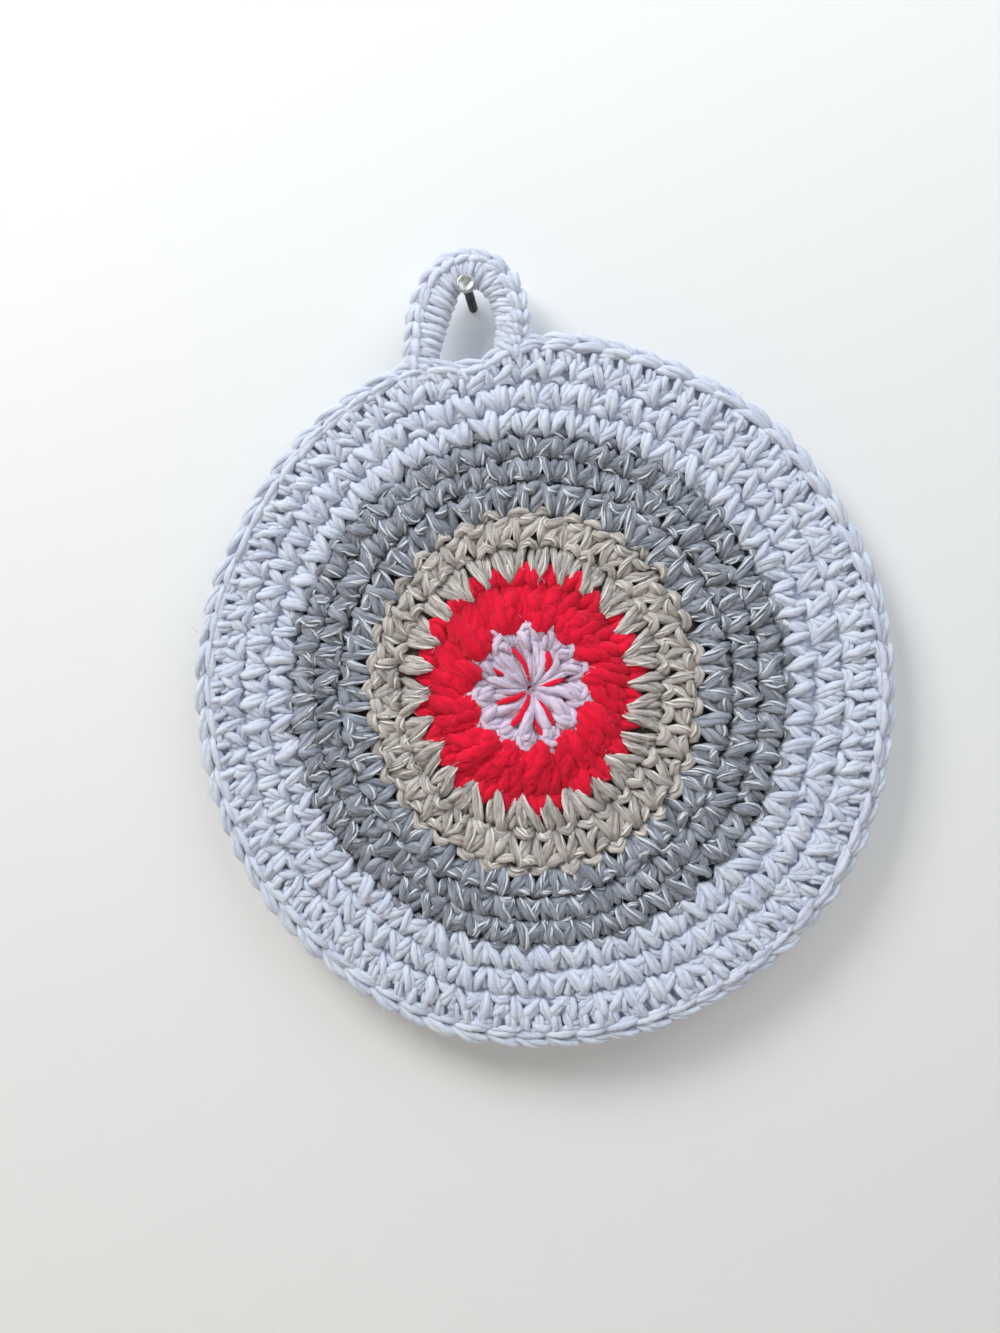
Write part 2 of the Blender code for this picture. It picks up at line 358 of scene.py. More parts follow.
def steel_material(name, tone):
    """Drawn steel wire: a head worn bright, and a shank darkened with painted shade."""
    made, shader, add = shader_of(name, Metallic=0.9)
    here = add("ShaderNodeTexCoord").outputs["Object"]
    # Draw lines 0.15 mm apart round the wire, stretched along it.
    lines = add("ShaderNodeMapping", {"Vector": here, "Scale": (6500.0, 160.0, 6500.0)})
    drawn = add(NOISE, {"Vector": lines, "Scale": 1.0, "Detail": 2.0})
    marks = add(NOISE, {"Vector": here, "Scale": 900.0, "Detail": 4.0})
    ramp = add("ShaderNodeValToRGB", [marks])
    set_ramp(ramp, tone, ((0.35, 0.55), (0.62, 1.0)))
    # The shank behind the head is painted brown-black, as painted shade.
    parts = add("ShaderNodeSeparateXYZ", [here])
    under = NAIL_LENGTH - HEAD_THICK
    painted_shank_shade = add(
        RANGE,
        {"Value": parts.outputs["Y"], "From Min": -under * MM, "From Max": -(under - 0.6) * MM,
         "To Min": 1.0, "To Max": 0.10},
    )
    shank_in_painted_shade = add(VECTOR, {0: ramp, "Scale": painted_shank_shade}, operation="SCALE")
    dull = add(RANGE, {"Value": marks, "To Min": 0.30, "To Max": 0.50})
    relief = add("ShaderNodeBump", {"Height": drawn, "Strength": 0.25, "Distance": 0.05 * MM})
    feed(shader, {"Base Color": shank_in_painted_shade, "Roughness": dull, "Normal": relief})
    return made


def backdrop_material(name, tone):
    """Matte emulsion paint. It shows only from its painted side, so that the back can be looked at."""
    made, shader, add = shader_of(name, Base_Color=toned(tone, 1.0), Roughness=0.9)
    facing = add("ShaderNodeNewGeometry").outputs["Backfacing"]
    sided = add("ShaderNodeMixShader", [facing, shader, add("ShaderNodeBsdfTransparent")])
    feed(made.node_tree.nodes["Material Output"], {"Surface": sided})
    return made


# ---------------------------------------------------------------- yarn

# A strand's points, thicknesses, random tone, and at each point how much painted shade darkens it where it
# dives.
Strand = namedtuple("Strand", "points thickness shade sunk")
SPIN_INPUTS = (
    ("Sides", "Int", 6), ("Steps", "Int", 8), ("Plies", "Int", 3), ("Ply spread", "Float", 0.5),
    ("Ply radius", "Float", 0.58), ("Ply wander", "Float", 0.3), ("Lumps", "Float", 0.2),
    ("Twist length", "Float", 0.034), ("Fuzz", "Float", 0.0), ("Fibre length", "Float", 0.002),
)
FIBRE_SHARE = 0.028  # a loose fibre's radius, as a share of its length
FIBRE_LEAN = 0.9  # how far a loose fibre leans to a side, in radians
STRAND_START = 300.0  # other places in the noise for every strand and every ply, in millimetres
PLY_START = 40.0


def spinning_tree():
    """Geometry Nodes that spin a yarn of a few plies along every path of a mesh of edges."""
    name = "Spin yarn"
    if name in bpy.data.node_groups:
        return bpy.data.node_groups[name]
    tree = bpy.data.node_groups.new(name, "GeometryNodeTree")
    face = tree.interface
    face.new_socket("Paths", in_out="INPUT", socket_type="NodeSocketGeometry")
    for label, kind, default in SPIN_INPUTS:
        face.new_socket(label, in_out="INPUT", socket_type="NodeSocket" + kind).default_value = default
    face.new_socket("Yarn", in_out="INPUT", socket_type="NodeSocketMaterial")
    face.new_socket("Yarn mesh", in_out="OUTPUT", socket_type="NodeSocketGeometry")
    add = partial(add_node, tree)
    given = add("NodeGroupInput").outputs
    spot = add("GeometryNodeInputPosition")
    normal = add("GeometryNodeInputNormal")
    # What lies on the paths and, from further down, on the plies.
    shade, thick, counter, crest = (
        add(STORED, {"Name": label}, data_type="FLOAT") for label in ("shade", "thickness", "along", "crest")
    )
    around, middle = (
        add(STORED, {"Name": label}, data_type="FLOAT_VECTOR") for label in ("around", "middle")
    )

    # The path: a smooth curve that turns about itself once in each twist length.
    curve = add("GeometryNodeMeshToCurve", [given["Paths"]])
    smooth = add("GeometryNodeCurveSplineType", {"Curve": curve}, spline_type="CATMULL_ROM")
    even = add("GeometryNodeResampleCurve", {"Curve": smooth, "Count": given["Steps"]})
    travelled = add("GeometryNodeSplineParameter").outputs["Length"]
    turn = add(MATH, [travelled, given["Twist length"]], operation="DIVIDE")
    begun = add(MATH, [turn, shade], operation="ADD")
    angle = add(MATH, [begun, math.tau], operation="MULTIPLY")
    twisted = add("GeometryNodeSetCurveTilt", {"Curve": even, "Tilt": angle})

    # Each ply: a copy of the path, laid beside it and left to wander a little.
    copies = add(
        "GeometryNodeDuplicateElements", {"Geometry": twisted, "Amount": given["Plies"]}, domain="SPLINE"
    )
    ply = copies.outputs["Duplicate Index"]
    share = add(MATH, [ply, given["Plies"]], operation="DIVIDE")
    ply_angle = add(MATH, [share, math.tau], operation="MULTIPLY")
    tangent = add("GeometryNodeInputTangent")
    sideways = add(
        "ShaderNodeVectorRotate", {"Vector": normal, "Axis": tangent, "Angle": ply_angle},
        rotation_type="AXIS_ANGLE",
    )
    # The place along the ply in millimetres, with another start for every ply.
    strand_start = add(MATH, [shade, STRAND_START], operation="MULTIPLY")
    ply_start = add(MATH, [ply, PLY_START, strand_start], operation="MULTIPLY_ADD")
    along = add(MATH, [travelled, 1.0 / MM, ply_start], operation="MULTIPLY_ADD")
    counted = add(STORE, {"Geometry": copies, "Name": "along", "Value": along}, data_type="FLOAT")
    centred = add(STORE, {"Geometry": counted, "Name": "middle", "Value": spot}, data_type="FLOAT_VECTOR")
    line = add("ShaderNodeCombineXYZ", [counter])
    # The plies wander once in 4 mm.
    drift = add(NOISE, {"Vector": line, "Scale": 0.25, "Detail": 1.0})
    evened = add(VECTOR, [drift.outputs["Color"], (0.5, 0.5, 0.5)], operation="SUBTRACT")
    loose = add(VECTOR, {0: evened, "Scale": given["Ply wander"]}, operation="SCALE")
    beside = add(VECTOR, {0: sideways, "Scale": given["Ply spread"]}, operation="SCALE")
    moved = add(VECTOR, [beside, loose], operation="ADD")
    offset = add(VECTOR, {0: moved, "Scale": thick}, operation="SCALE")
    laid = add("GeometryNodeSetPosition", {"Geometry": centred, "Offset": offset})

    # The ply's section, swept along it. The material reads the fibre attribute, in millimetres along.
    circle = add("GeometryNodeCurvePrimitiveCircle", {"Resolution": given["Sides"], "Radius": 1.0})
    marked = add(STORE, {"Geometry": circle, "Name": "around", "Value": spot}, data_type="FLOAT_VECTOR")
    girth = add(MATH, [thick, given["Ply radius"]], operation="MULTIPLY")
    swept = add(
        "GeometryNodeCurveToMesh",
        {"Curve": laid, "Profile Curve": marked, "Scale": girth, "Fill Caps": True},
    )
    sides = add("ShaderNodeSeparateXYZ", [around]).outputs
    joined = add("ShaderNodeCombineXYZ", [sides["X"], sides["Y"], counter])
    fibred = add(STORE, {"Geometry": swept, "Name": "fibre", "Value": joined}, data_type="FLOAT_VECTOR")
    # How far a point lies from the yarn's middle, in its radii: most on the crest of a ply.
    from_middle = add(VECTOR, [spot, middle], operation="DISTANCE")
    in_radii = add(MATH, [from_middle, thick], operation="DIVIDE")
    grooved = add(STORE, {"Geometry": fibred, "Name": "crest", "Value": in_radii}, data_type="FLOAT")
    # Slubs 1.5 mm long stand out of the ply, as a share of its radius.
    slubs = add(NOISE, {"Vector": spot, "Scale": 0.7 / MM, "Detail": 1.0})
    swollen = add(RANGE, {"Value": slubs, "From Min": 0.3, "From Max": 0.7, "To Min": -1.0, "To Max": 1.0})
    rise = add(MATH, [swollen, given["Lumps"]], operation="MULTIPLY")
    proud = add(MATH, [rise, girth], operation="MULTIPLY")
    pushed = add(VECTOR, {0: normal, "Scale": proud}, operation="SCALE")
    lumpy = add("GeometryNodeSetPosition", {"Geometry": grooved, "Offset": pushed})
    shaded = add("GeometryNodeSetShadeSmooth", {"Geometry": lumpy})

    # Loose fibres that stand off the crests of the yarn on the side that shows.
    bow = add(
        "GeometryNodeCurveQuadraticBezier",
        {"Resolution": 2, "Start": (0.0, 0.0, -0.1), "Middle": (0.15, 0.0, 0.45), "End": (0.75, 0.0, 0.62)},
    )
    hair = add("GeometryNodeCurvePrimitiveCircle", {"Resolution": 3, "Radius": FIBRE_SHARE})
    fibre = add("GeometryNodeCurveToMesh", {"Curve": bow, "Profile Curve": hair, "Fill Caps": True})
    side = add("ShaderNodeSeparateXYZ", [normal]).outputs["Y"]
    shows = add("FunctionNodeCompare", {"A": side, "B": -0.1}, data_type="FLOAT", operation="LESS_THAN")
    crests = add("FunctionNodeCompare", {"A": crest, "B": 0.8}, data_type="FLOAT", operation="GREATER_THAN")
    both = add("FunctionNodeBooleanMath", [shows, crests], operation="AND")
    roots = add(
        "GeometryNodeDistributePointsOnFaces",
        {"Mesh": shaded, "Selection": both, "Density": given["Fuzz"], "Seed": 5},
    )
    spun_about = add(
        "FunctionNodeRandomValue",
        {0: (-FIBRE_LEAN, -FIBRE_LEAN, 0.0), 1: (FIBRE_LEAN, FIBRE_LEAN, math.tau), "Seed": 6},
        data_type="FLOAT_VECTOR",
    )
    leaned = add(
        "FunctionNodeRotateRotation", [roots.outputs["Rotation"], spun_about], rotation_space="LOCAL"
    )
    grown = add("FunctionNodeRandomValue", {2: 0.5, 3: 1.5, "Seed": 7}, data_type="FLOAT")
    scaled = add(MATH, [grown, given["Fibre length"]], operation="MULTIPLY")
    fibres = add(
        "GeometryNodeInstanceOnPoints",
        {"Points": roots, "Instance": fibre, "Rotation": leaned, "Scale": scaled},
    )
    together = add("GeometryNodeJoinGeometry", [shaded])
    feed(together, [fibres])
    real = add("GeometryNodeRealizeInstances", [together])
    finished = add("GeometryNodeSetMaterial", {"Geometry": real, "Material": given["Yarn"]})
    add("NodeGroupOutput", [finished])
    return tree


# How a yarn is spun: its plies, how far they lie from its middle, their radius and wander as shares of
# the yarn's radius, its lumps as a share of a ply's, and its loose fibres on a square millimetre.
Spun = namedtuple("Spun", "plies spread radius wander lumps fuzz")
THREAD = Spun(1, 0.0, 1.0, 0.0, 0.10, 0.0)
SOFT = Spun(3, 0.25, 0.84, 0.25, 0.16, 0.03)
FILLING = Spun(3, 0.45, 0.62, 0.20, 0.15, 0.0)
BACK = Spun(2, 0.45, 0.66, 0.20, 0.15, 0.0)
COTTON_REACH = 1.12  # the spread and the radius of the cotton's plies together
COTTON_WANDER = 0.40
COTTON_LUMPS = 0.20


def spin(name, strands, yarn, sides=7, steps=7, spun=None):
    """Spin yarn along the strands, as the cotton is spun if not told how, and keep it as one plain mesh."""
    sizes = bpy.context.scene.pot_holder_sizes
    spun = spun or Spun(
        sizes.plies, sizes.spread, COTTON_REACH - sizes.spread, COTTON_WANDER, COTTON_LUMPS, sizes.fuzz
    )
    points, edges, values = [], [], {"thickness": [], "shade": [], "sunk": []}
    for strand in strands:
        first = len(points)
        points += [point * MM for point in strand.points]
        edges += [(k, k + 1) for k in range(first, len(points) - 1)]
        values["thickness"] += strand.thickness
        values["shade"] += [strand.shade] * len(strand.points)
        values["sunk"] += strand.sunk or [0.0] * len(strand.points)
    paths = bpy.data.meshes.new(name + "_paths")
    paths.from_pydata(points, edges, [])
    for label, each in values.items():
        paths.attributes.new(label, "FLOAT", "POINT").data.foreach_set("value", each)
    source = bpy.data.objects.new(name + "_paths", paths)
    bpy.context.collection.objects.link(source)
    spinner = source.modifiers.new("Spin", "NODES")
    spinner.node_group = spinning_tree()
    wanted = (sides, steps, *spun[:5], sizes.twist, spun.fuzz / (MM * MM), sizes.fibre)
    wanted = dict(zip([row[0] for row in SPIN_INPUTS], wanted), Yarn=yarn_of(yarn))
    for socket in spinner.node_group.interface.items_tree:
        if socket.in_out == "INPUT" and socket.name in wanted:
            spinner[socket.identifier] = wanted[socket.name]
    graph = bpy.context.evaluated_depsgraph_get()
    mesh = bpy.data.meshes.new_from_object(
        source.evaluated_get(graph), preserve_all_data_layers=True, depsgraph=graph
    )
    if not mesh.polygons:
        raise RuntimeError(f"no yarn was spun for {name}")
    bpy.data.objects.remove(source)
    bpy.data.meshes.remove(paths)
    link_up(name, mesh)


def link_up(name, mesh):
    """Link a finished mesh as an object."""
    mesh.name = name
    made = bpy.data.objects.new(name, mesh)
    bpy.context.collection.objects.link(made)
    return made


def mesh_of(name, points, faces, material):
    """A smooth mesh from points in millimetres."""
    mesh = bpy.data.meshes.new(name)
    mesh.from_pydata([point * MM for point in points], [], faces)
    mesh.materials.append(material)
    mesh.shade_smooth()
    return mesh


def smooth_between(four, share):
    """A Catmull-Rom point between the second and third of four."""
    before, start, end, after = four
    slope_in = (end - before) / 2.0
    slope_out = (after - start) / 2.0
    cube = 2.0 * start - 2.0 * end + slope_in + slope_out
    square = -3.0 * start + 3.0 * end - 2.0 * slope_in - slope_out
    return ((cube * share + square) * share + slope_in) * share + start


def along_path(points, where):
    """A smooth point of a path, with its place given in points from the first."""
    last = len(points) - 1
    k = min(int(where), last - 1)
    return smooth_between([points[min(max(k + step, 0), last)] for step in (-1, 0, 1, 2)], where - k)


THREAD_TAPER = (0.15, 0.65, 1.0, 1.0, 0.60, 0.15)
THREAD_SEAT = 0.97  # how far from the strand's middle a thread lies, in the strand's radii
NEARBY = 0.05  # a step along a strand, in points


def thread_on(strand, radius, start, end, side_from, side_to, shade):
    """A thin thread laid on a strand, from one of its sides to another, in degrees from its front."""
    last = len(strand.points) - 1
    points = []
    for k in range(len(THREAD_TAPER)):
        share = k / (len(THREAD_TAPER) - 1)
        where = (start + (end - start) * share) * last
        ahead = along_path(strand.points, min(where + NEARBY, last))
        behind = along_path(strand.points, max(where - NEARBY, 0.0))
        tangent = (ahead - behind).normalized()
        out = (FRONT - tangent * FRONT.dot(tangent)).normalized()
        turn = math.radians(side_from + (side_to - side_from) * share)
        aside = out * math.cos(turn) + tangent.cross(out) * math.sin(turn)
        seat = along_path(strand.thickness, where) / MM * THREAD_SEAT
        points.append(along_path(strand.points, where) + aside * seat)
    return Strand(points, [radius * share for share in THREAD_TAPER], shade, None)


# ---------------------------------------------------------------- stitches

# Places along a strand: across in stitches, along in rounds, height in millimetres, swell of the yarn.
Stop = namedtuple("Stop", "across along height swell")


def stops(*rows):
    """The path of a strand."""
    return tuple(Stop(*row) for row in rows)


LEFT_LEG = stops(
    (0.02, -0.15, -1.2, 0.55), (-0.03, -0.04, 0.8, 0.80), (-0.16, 0.15, 2.2, 1.04),
    (-0.31, 0.42, 2.6, 1.18), (-0.43, 0.68, 2.0, 1.12), (-0.48, 0.94, 0.2, 0.80),
)
RIGHT_LEG = stops(
    (0.06, -0.14, -1.2, 0.55), (0.10, -0.03, 0.7, 0.78), (0.20, 0.16, 1.9, 1.00),
    (0.34, 0.40, 2.2, 1.14), (0.45, 0.64, 1.6, 1.08), (0.50, 0.88, 0.0, 0.80),
)
BODY = stops(
    (0.02, 0.16, 0.4, 0.85), (0.03, 0.38, 1.6, 1.15), (0.01, 0.60, 1.7, 1.20), (-0.01, 0.80, 0.2, 0.85)
)
FRONT_LOOP = stops(
    (0.16, 0.90, -0.8, 0.70), (0.28, 1.01, 1.1, 0.95), (0.51, 1.09, 1.7, 1.05), (0.74, 1.01, 1.3, 0.98),
    (0.88, 0.90, -0.7, 0.70),
)
# The loops of the beige rounds stand higher.
HIGH_LOOP = stops(
    (0.10, 0.80, -0.4, 0.75), (0.24, 0.95, 1.7, 1.00), (0.50, 1.05, 2.5, 1.12), (0.76, 0.96, 1.9, 1.02),
    (0.92, 0.82, -0.5, 0.75),
)
# The first beige round bites deep into the red one, in points.
LEFT_POINT = stops(
    (0.04, -0.36, -0.4, 0.30), (0.03, -0.27, 1.7, 0.55), (-0.04, -0.06, 2.7, 0.85),
    (-0.18, 0.24, 2.8, 1.10), (-0.31, 0.60, 2.0, 1.12), (-0.34, 0.95, 0.0, 0.85),
)
RIGHT_POINT = stops(
    (0.05, -0.34, -0.4, 0.30), (0.05, -0.25, 1.6, 0.55), (0.13, -0.04, 2.5, 0.85),
    (0.23, 0.24, 2.5, 1.05), (0.33, 0.58, 1.8, 1.10), (0.34, 0.93, 0.0, 0.85),
)
# The yarn thrown over the hook, which lies across a taller stitch.
THROWN = stops(
    (-0.34, 0.70, 0.4, 0.75), (-0.16, 0.60, 2.6, 1.00), (0.10, 0.66, 2.8, 1.05), (0.30, 0.80, 0.6, 0.75)
)

# The strands of a stitch, with the sides between which a bright thread winds on each, in degrees.
Layer = namedtuple("Layer", "track low high")
LEGS = (Layer(LEFT_LEG, -75.0, -5.0), Layer(RIGHT_LEG, 75.0, 5.0))
POINTS = (Layer(LEFT_POINT, -75.0, -5.0), Layer(RIGHT_POINT, 75.0, 5.0))
HIGH_TOP = (Layer(HIGH_LOOP, 0.0, 70.0),)
OVER = (Layer(THROWN, -60.0, 60.0),)
STITCH = LEGS + (Layer(FRONT_LOOP, 20.0, 80.0),)

StitchRound = namedtuple("StitchRound", "index count phase yarn stitch radius flecks")
STITCH_ROUNDS = (
    StitchRound(2, 39, 3.0, "beige", POINTS + HIGH_TOP, 0.86, 0.60),
    StitchRound(3, 39, 7.0, "beige", LEGS + HIGH_TOP + OVER, 0.88, 0.50),
    StitchRound(4, 52, 5.0, "grey", STITCH + OVER, 0.95, 0.70),
    StitchRound(5, 56, 4.0, "grey", STITCH, 0.98, 0.70),
    StitchRound(6, 60, 1.0, "grey", STITCH, 0.98, 0.70),
    StitchRound(7, 65, 3.0, "white", STITCH, 0.98, 0.0),
    StitchRound(8, 68, 0.0, "white", STITCH, 0.98, 0.0),
    StitchRound(9, 70, 2.0, "white", STITCH, 0.98, 0.0),
)
PUFF_COUNT = 26
PUFF_PHASE = 4.0
PETAL_HOLES = (9.0, 32.0, 55.0, 83.0, 115.0, 145.0, 172.0, 197.0, 222.0, 250.0, 279.0, 308.0, 340.0)

HOLE_SHIFT = 0.04  # of a stitch, from a stitch's middle to the hole under its top
BASE_SHARE = 0.25  # how much of its way to its own place a stitch has gone where it leaves the hole
SHADE_TOP = 1.7  # the heights between which painted shade darkens the yarn, in millimetres
SHADE_DEEP = -0.6
# How far the hand strays from a strand's path: to a side in stitches, along in rounds, in millimetres
# of height, in shares of its thickness, and at each stop in millimetres across, deep and up.
SLIDE = 0.11
RISE = 0.09
LIFT = 0.45
GIRTH = 0.17
WOBBLE = (0.42, 0.30, 0.42)
TOP_STRAY = 0.13  # of a stitch
# The bright threads on each strand: how many may lie on it, where they start and how long they are in
# shares of the strand, and how far each strays, the last in degrees.
THREADS_EACH = 2
THREAD_START = 0.24
THREAD_LENGTH = 0.48
START_STRAY = 0.22
LENGTH_STRAY = 0.18
SIDE_STRAY = 25.0


def spots(count, phase):
    """Evenly spaced angles."""
    return [phase + 360.0 * k / count for k in range(count)]


def nearest(angle, choices):
    """The choice nearest to an angle, given as an angle next to it."""
    return angle + min((turn_between(angle, choice) for choice in choices), key=abs)


class Hand:
    """The unevenness of a hand that crochets: fixed random draws."""

    def __init__(self, number):
        sizes = bpy.context.scene.pot_holder_sizes
        self.draw = random.Random(sizes.seed * 1000 + number)
        self.amount = sizes.wander

    def off(self, reach):
        """A small error, up to a reach on either side."""
        return self.draw.uniform(-reach, reach) * self.amount

    def shade(self):
        """The tone of one strand."""
        return self.draw.random()

    def chance(self, share):
        """Whether a thing happens."""
        return self.draw.random() < share


def depth_shade(height):
    """How much painted shade darkens the yarn where it dives between its neighbours: 0 at the top, 1 deep
    down.
    """
    return min(max((SHADE_TOP - height) / (SHADE_TOP - SHADE_DEEP), 0.0), 1.0)


def lay(hand, index, base, top, pitch, track, radius, side=1.0):
    """Lay one strand of a stitch on the cloth. Side -1 lays it on the back."""
    slide = hand.off(SLIDE) * pitch
    rise = hand.off(RISE)
    lift = hand.off(LIFT)
    girth = 1.0 + hand.off(GIRTH)
    points = []
    for stop in track:
        share = min(max(stop.along, 0.0), 1.0)
        angle = base + (top - base) * share + stop.across * pitch + slide * share
        wobble = Vector([hand.off(stray) for stray in WOBBLE])
        reach = reach_of(index, stop.along + rise * share)
        points.append(place(angle, reach, (stop.height + lift) * side) + wobble)
    sunk = [depth_shade(stop.height) for stop in track]
    return Strand(points, [radius * stop.swell * girth for stop in track], hand.shade(), sunk)


def seated(index):
    """Each stitch of a round with the place where it leaves the round below: base and top angles."""
    rounds = {ring.index: (ring.count, ring.phase) for ring in STITCH_ROUNDS}
    rounds[1] = (PUFF_COUNT, PUFF_PHASE)
    count_below, phase_below = rounds[index - 1]
    below = [angle + HOLE_SHIFT * 360.0 / count_below for angle in spots(count_below, phase_below)]
    for top in spots(*rounds[index]):
        hole = nearest(top, below)
        yield hole + (top - hole) * BASE_SHARE, top


class POTHOLDER_OT_stitch_rounds(bpy.types.Operator):
    """Crochet the beige, grey and white rounds, with the bright thread on them"""

    bl_idname = "potholder.stitch_rounds"
    bl_label = "Stitch Rounds"

    def execute(self, context):
        sizes = context.scene.pot_holder_sizes
        fillings = {}
        for ring in STITCH_ROUNDS:
            hand = Hand(ring.index)
            pitch = 360.0 / ring.count
            radius = sizes.yarn * ring.radius
            strands, threads = [], []
            for base, top in seated(ring.index):
                top += hand.off(TOP_STRAY) * pitch
                body = lay(hand, ring.index, base, top, pitch, BODY, radius)
                fillings.setdefault(ring.yarn, []).append(body)
                for layer in ring.stitch:
                    strand = lay(hand, ring.index, base, top, pitch, layer.track, radius)
                    strands.append(strand)
                    for _ in range(THREADS_EACH):
                        if hand.chance(ring.flecks):
                            start = THREAD_START + hand.off(START_STRAY)
                            end = start + THREAD_LENGTH + hand.off(LENGTH_STRAY)
                            low = layer.low + hand.off(SIDE_STRAY)
                            high = layer.high + hand.off(SIDE_STRAY)
                            shade = hand.shade()
                            threads.append(thread_on(strand, sizes.fleck, start, end, low, high, shade))
            name = ROUNDS[ring.index].name.replace(" ", "_")
            spin(name, strands, ring.yarn)
            if threads:
                spin(name + "_thread", threads, ring.yarn + " thread", sides=5, steps=8, spun=THREAD)
        for yarn, bodies in fillings.items():
            spin(yarn + "_filling", bodies, yarn, sides=5, steps=4, spun=FILLING)
        return {"FINISHED"}


# A pair of red stitches grows out of one hole. Places across are in pairs, from the pair's middle.
# The third strand slants over the other two, and a top stands up as a tooth beside them.
PAIR = (
    stops(
        (0.06, -0.10, -1.2, 0.60), (0.21, -0.05, 1.2, 0.92), (0.33, 0.13, 2.0, 1.10),
        (0.36, 0.34, 1.5, 1.06), (0.37, 0.60, 1.3, 1.02), (0.35, 0.92, 0.2, 0.80),
    ),
    stops(
        (0.03, -0.14, -1.2, 0.60), (0.08, -0.08, 1.7, 1.00), (0.12, 0.10, 2.5, 1.15),
        (0.14, 0.34, 2.0, 1.10), (0.17, 0.62, 1.4, 1.02), (0.17, 0.92, 0.2, 0.80),
    ),
    stops((-0.06, 0.14, 1.2, 0.5), (0.08, 0.3, 2.5, 0.86), (0.24, 0.48, 2.3, 0.92), (0.36, 0.66, 1.1, 0.66)),
)
PUFF_TOOTH = stops(
    (0.14, 0.70, 0.3, 0.65), (0.33, 0.95, 1.7, 0.72), (0.50, 1.32, 1.8, 0.24), (0.67, 0.95, 1.7, 0.72),
    (0.86, 0.70, 0.3, 0.65),
)


class POTHOLDER_OT_red_round(bpy.types.Operator):
    """Crochet the red round: tall soft stitches in pairs, with their tops standing up as teeth"""

    bl_idname = "potholder.red_round"
    bl_label = "Red Round"

    def execute(self, context):
        puff = context.scene.pot_holder_sizes.puff
        hand = Hand(1)
        pitch = 360.0 / PUFF_COUNT
        strands = []
        tops = spots(PUFF_COUNT, PUFF_PHASE)
        for first, second in zip(tops[::2], tops[1::2]):
            middle = (first + second) / 2.0
            hole = nearest(middle, PETAL_HOLES)
            for side in (-1.0, 1.0):
                for track in PAIR:
                    sided = [stop._replace(across=stop.across * side) for stop in track]
                    strands.append(lay(hand, 1, hole, middle, 2.0 * pitch, sided, puff))
            for top in (first, second):
                strands.append(lay(hand, 1, top, top, pitch, PUFF_TOOTH, puff))
        spin("red_puffs", strands, "red", sides=8, steps=9, spun=SOFT)
        return {"FINISHED"}


# The gaps between the petals, through which the carried red yarn shows: their angles at three radii,
# how far out they start and end, half the red line's thickness, and how many strands lie between each
# and the next.
Gap = namedtuple("Gap", "inner middle outer start end width strands")
GAPS = [
    Gap(*row)
    for row in (
        (-8.0, -17.0, -28.0, 2.0, 14.0, 0.55, 2), (60.0, 40.0, 14.0, 6.0, 11.4, 0.85, 2),
        (84.0, 77.0, 77.0, 2.6, 10.0, 0.60, 2), (150.0, 142.0, 150.0, 2.6, 14.6, 0.55, 1),
        (176.0, 174.0, 163.0, 7.0, 16.6, 0.50, 1), (190.0, 200.0, 211.0, 2.0, 13.6, 0.80, 2),
        (230.0, 243.0, 245.0, 1.8, 10.6, 0.70, 2), (292.0, 293.0, 293.0, 7.0, 16.0, 0.50, 3),
    )
]
GAP_RADII = (3.0, 8.0, 13.0)
PETAL_SPAN = 17.0  # the petals' mean radius
PETAL_INSET = 0.06  # the share of a petal that its strands leave free at each gap
# The strands of a petal and the red line in a gap: radii and heights in millimetres, and swells. The
# crown tells which places of a petal rise and fall from one to the next.
PETAL_RADII = (1.0, 3.0, 5.5, 8.0, 10.5, 13.0, 14.6)
PETAL_HEIGHTS = (0.6, 1.5, 2.0, 2.2, 2.1, 1.8, 0.3)
PETAL_CROWN = (0.0, 0.0, 0.0, 1.0, 1.0, 0.0, 0.0)
PETAL_SWELLS = (0.34, 0.74, 1.10, 1.32, 1.36, 1.20, 0.9)
LINE_SHARES = (0.0, 0.33, 0.67, 1.0)
LINE_HEIGHTS = (1.8, 3.2, 3.4, 2.0)
LINE_SWELLS = (0.7, 1.2, 1.2, 0.7)
# The top of each petal: a loop that hooks back, a lump in it, a strand beside it and the tip between two
# red pairs. Each has shares of half the petal's width, radii and heights in millimetres, and swells.
PETAL_TOP = (
    (
        (-0.80, -0.62, -0.15, 0.40, 0.66, 0.45), (11.0, 13.8, 16.0, 15.4, 13.2, 11.0),
        (0.6, 2.4, 3.0, 2.8, 2.2, 0.8), (0.75, 1.10, 1.15, 1.10, 0.95, 0.65),
    ),
    ((0.45, 0.10, -0.20, -0.60), (9.6, 12.4, 14.2, 15.4), (1.0, 3.2, 3.0, 0.6), (0.7, 1.05, 1.0, 0.7)),
    ((0.80, 0.74, 0.50, 0.20), (10.4, 13.0, 15.2, 16.8), (0.8, 2.4, 2.5, 0.8), (0.6, 0.95, 0.9, 0.6)),
    ((0.30, 0.10, -0.02, -0.10), (14.6, 16.8, 18.8, 20.6), (1.0, 2.9, 2.7, 1.3), (0.9, 0.85, 0.6, 0.2)),
)
# How far the petals stray: lift in millimetres and turn in degrees of any strand, crown in millimetres
# and thickness of a petal's own, and shift in half widths and radius in millimetres of its top.
PETAL_LIFT = 0.15
PETAL_TURN = 1.5
CROWN_STRAY = 0.9
STOUT_STRAY = 0.22
TOP_SHIFT = 0.22
TOP_RADIUS_STRAY = 0.7


def gap_angle(gap, radius):
    """The angle of a gap at a radius."""
    inner, middle, outer = GAP_RADII
    if radius < middle:
        return gap.inner + (gap.middle - gap.inner) * (radius - inner) / (middle - inner)
    return gap.middle + (gap.outer - gap.middle) * (radius - middle) / (outer - middle)


